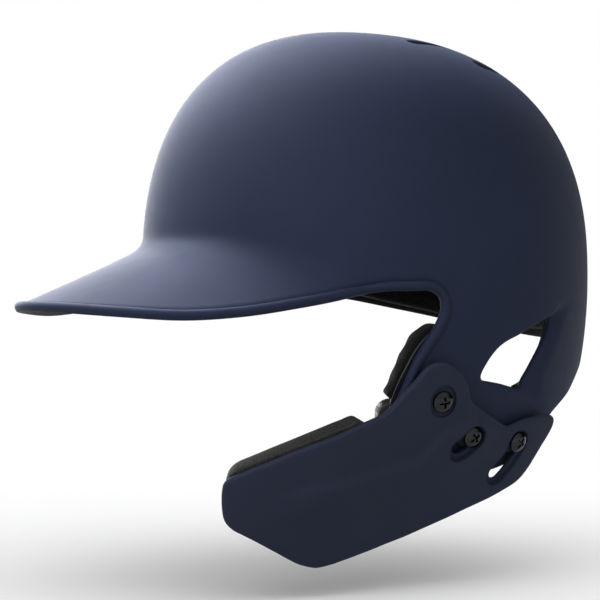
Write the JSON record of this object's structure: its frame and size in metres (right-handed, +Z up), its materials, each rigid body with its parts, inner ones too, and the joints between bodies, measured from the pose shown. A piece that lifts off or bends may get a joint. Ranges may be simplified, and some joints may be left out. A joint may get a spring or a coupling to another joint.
{
  "type": "batting helmet",
  "caption": "Hard-shell batting helmet with a brim, one ear flap and a jaw guard that tilts on its screw and locks in arc slots.",
  "frame": {"origin": "middle of the head opening, in the plane where the shell is widest", "axes": "+Z up out of the crown, the wearer faces -Y, the wearer's left and the ear flap are on +X"},
  "size_m": [0.2071, 0.3149, 0.265],
  "materials": {
    "shell_paint": "satin navy paint on moulded ABS, fine orange peel",
    "guard_plastic": "satin navy moulded polycarbonate",
    "liner_foam": "black expanded bead foam",
    "flap_foam": "black closed-cell foam",
    "guard_foam": "dark grey open foam, grainy",
    "backing_plastic": "thin glossy black plastic",
    "grey_pad": "smooth dark grey moulded foam",
    "hook_tape": "black hook tape",
    "pad_cloth": "black brushed knit over soft foam",
    "black_nickel": "black nickel plate",
    "zinc_plate": "zinc plated steel",
    "spacer_rubber": "black rubber"
  },
  "bodies": {
    "root": {"outer_shell": "shell_paint", "impact_liner": "liner_foam", "ear_flap_liner": "flap_foam", "ear_pad_backing": "backing_plastic", "ear_front_pad": "pad_cloth", "ear_lower_pad": "grey_pad", "brow_pad": "pad_cloth", "left_temple_pad": "pad_cloth", "right_temple_pad": "pad_cloth", "nape_pad": "pad_cloth", "crown_pad": "pad_cloth", "brow_hook_patch": "hook_tape", "left_temple_hook_patch": "hook_tape", "right_temple_hook_patch": "hook_tape", "nape_hook_patch": "hook_tape", "crown_hook_patch": "hook_tape", "guard_pivot_screw": "black_nickel", "guard_front_slot_screw": "black_nickel", "guard_rear_slot_screw": "black_nickel", "pivot_nut": "zinc_plate", "front_slot_nut": "zinc_plate", "rear_slot_nut": "zinc_plate", "pivot_spacer": "spacer_rubber", "front_slot_spacer": "spacer_rubber", "rear_slot_spacer": "spacer_rubber"},
    "guard": {"face_guard": "guard_plastic", "guard_pad": "guard_foam"}
  },
  "joints": [
    {"name": "guard_tilt", "type": "hinge", "parent": "root", "child": "guard", "pos_m": [0.09435, -0.02508, -0.058], "axis": [0.9668, -0.1196, -0.2259], "range_deg": [0, 20]}
  ]
}
